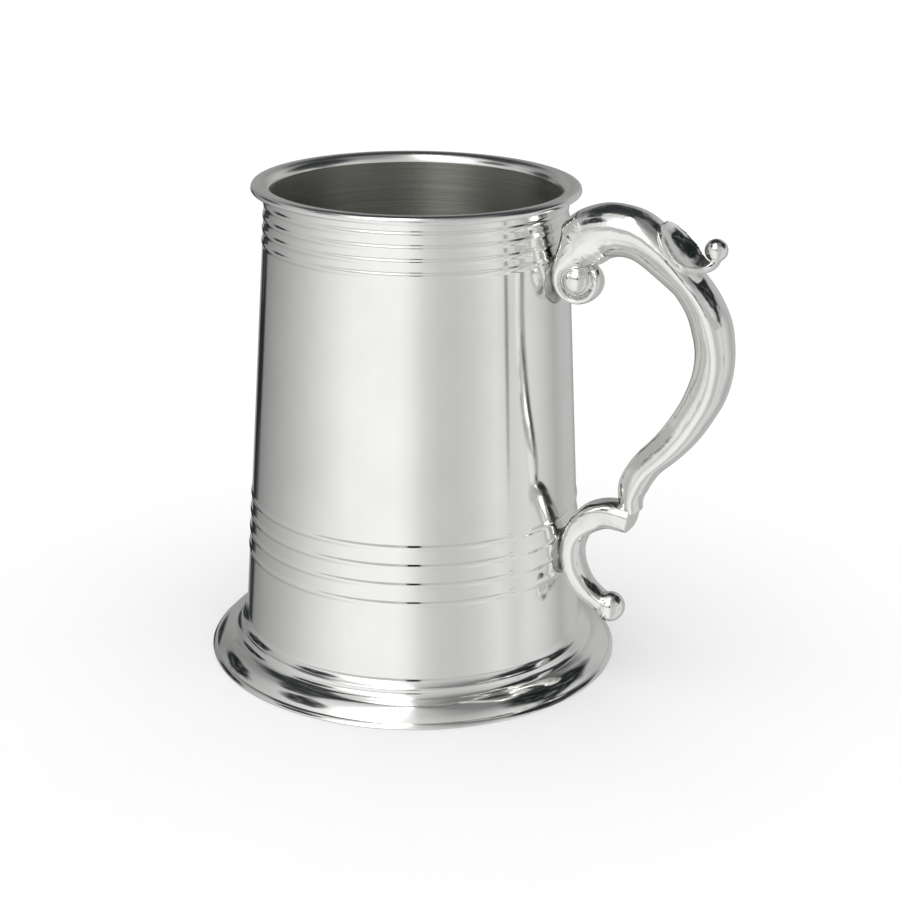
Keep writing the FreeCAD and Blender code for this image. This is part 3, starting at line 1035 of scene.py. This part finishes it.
def away_from(nodes, turn, height, gap):
    """How far a direction is from the middle of a gap: 1 on the gap's elliptical edge."""
    azimuth, elevation, half_width, half_height = gap[:4]
    offset = nodes.add("ShaderNodeMath", operation="WRAP")
    nodes.link(nodes.maths("SUBTRACT", turn, azimuth), offset.inputs[0])
    offset.inputs[1].default_value = 180
    offset.inputs[2].default_value = -180
    across = nodes.maths("DIVIDE", offset.outputs[0], half_width)
    up = nodes.maths("DIVIDE", nodes.maths("SUBTRACT", height, elevation), half_height)
    square = nodes.maths("ADD", nodes.maths("POWER", across, 2.0), nodes.maths("POWER", up, 2.0))
    return nodes.maths("SQRT", square)


def levels_round(nodes, turn, table):
    """A ramp of (direction, brightness) stops, read all round the tent."""
    ramp = nodes.add("ShaderNodeValToRGB")
    stops = ramp.color_ramp.elements
    while len(stops) < len(table):
        stops.new(0.5)
    for stop, (angle, level) in zip(stops, table):
        stop.position = (angle + 180) / 360
        stop.color = (level, level, level, 1)
    nodes.link(nodes.scaled(turn, 0.0, 1.0, -180, 180), ramp.inputs[0])
    return ramp.outputs[0]


def surround_glow():
    """The light that the metal mirrors: a white tent with dark gaps in it."""
    nodes = Nodes("surround_glow")
    split = nodes.add("ShaderNodeSeparateXYZ")
    nodes.link(nodes.place, split.inputs[0])
    x, y, z = split.outputs
    circle = nodes.maths("ARCTAN2", x, nodes.maths("MULTIPLY", y, -1.0))
    turn = nodes.maths("MULTIPLY", circle, math.degrees(1))
    rise = nodes.maths("ARCSINE", nodes.maths("DIVIDE", z, TENT_RADIUS))
    height = nodes.maths("MULTIPLY", rise, math.degrees(1))
    wall = levels_round(nodes, turn, SURROUND)
    roof = nodes.add("ShaderNodeVectorMath", operation="SCALE")
    roof.inputs["Scale"].default_value = ROOF_GAIN
    nodes.link(levels_round(nodes, turn, ROOF), roof.inputs[0])
    above = nodes.scaled(height, 0.0, 1.0, WALL_TOP, ROOF_EDGE)
    light = nodes.blend(above, wall, roof.outputs[0])
    ragged = nodes.scaled(nodes.noise(nodes.place, 1.6, 4.0), -1.0, 1.0, 0.2, 0.8)
    patchy = nodes.scaled(nodes.noise(nodes.place, 4.5, 4.0), 1.0, 0.72, 0.5, 0.66)
    for gap in GAPS:
        level, rag = gap[4:]
        edge = nodes.maths("MULTIPLY", ragged, rag)
        distance = nodes.maths("ADD", away_from(nodes, turn, height, gap), edge)
        share = nodes.maths("MULTIPLY", nodes.scaled(distance, 1.0, 0.0, 0.82, 1.12), patchy)
        light = nodes.blend(share, light, (level, level + 0.004, level + 0.006))
    glow = nodes.add("ShaderNodeEmission")
    nodes.link(light, glow.inputs["Color"])
    output = nodes.add("ShaderNodeOutputMaterial")
    nodes.link(glow.outputs[0], output.inputs["Surface"])
    return nodes.material


def tent():
    shape = bmesh.new()
    bmesh.ops.create_uvsphere(shape, u_segments=64, v_segments=32, radius=TENT_RADIUS)
    item = stage_object("tent", shape, surround_glow(), seen=False)
    item.rotation_euler.z = math.radians(VIEW_AZIMUTH)


def lens_hood():
    """The dark camera itself, which shows as a small spot in every curved band of the metal."""
    shape = bmesh.new()
    bmesh.ops.create_cube(shape, size=1.0)
    bmesh.ops.scale(shape, vec=Vector(LENS_HOOD) * MM, verts=shape.verts)
    nodes = Nodes("black_cloth")
    shader = nodes.add("ShaderNodeEmission")
    shader.inputs["Strength"].default_value = 0.01
    output = nodes.add("ShaderNodeOutputMaterial")
    nodes.link(shader.outputs[0], output.inputs["Surface"])
    item = stage_object("lens_hood", shape, nodes.material, seen=False)
    round_z = Matrix.Rotation(math.radians(VIEW_AZIMUTH), 4, "Z")
    back = VIEW_DISTANCE + LENS_HOOD[1]
    item.matrix_world = round_z @ Matrix.Translation(Vector((0, -back, VIEW_HEIGHT)) * MM)


def daylight():
    """Even light for the paper, and what shows past its edge."""
    world = bpy.data.worlds.new("daylight")
    world.use_nodes = True
    background = world.node_tree.nodes["Background"]
    background.inputs["Color"].default_value = (1, 1, 1, 1)
    background.inputs["Strength"].default_value = 1.12
    bpy.context.scene.world = world
    bpy.context.scene.view_settings.view_transform = "Standard"


# ---------------------------------------------------------------- build

polished = polished_pewter("polished_pewter", 0.06, 0.12)
cast = cast_pewter()
soldered = solder()

barrel(polished, turned_satin())
lip_ring(polished_pewter("rubbed_pewter", 0.16, 0.24))
bottom_disc(floor_satin())
floor_solder(soldered)
foot_skirt(polished)
foot_rim(polished)
upper_scroll(cast)
thumb_leaf(cast)
lower_scroll(cast)
solder_pad("upper_solder_pad", soldered)
solder_pad("lower_solder_pad", soldered)

camera()
paper_floor()
tent()
lens_hood()
daylight()
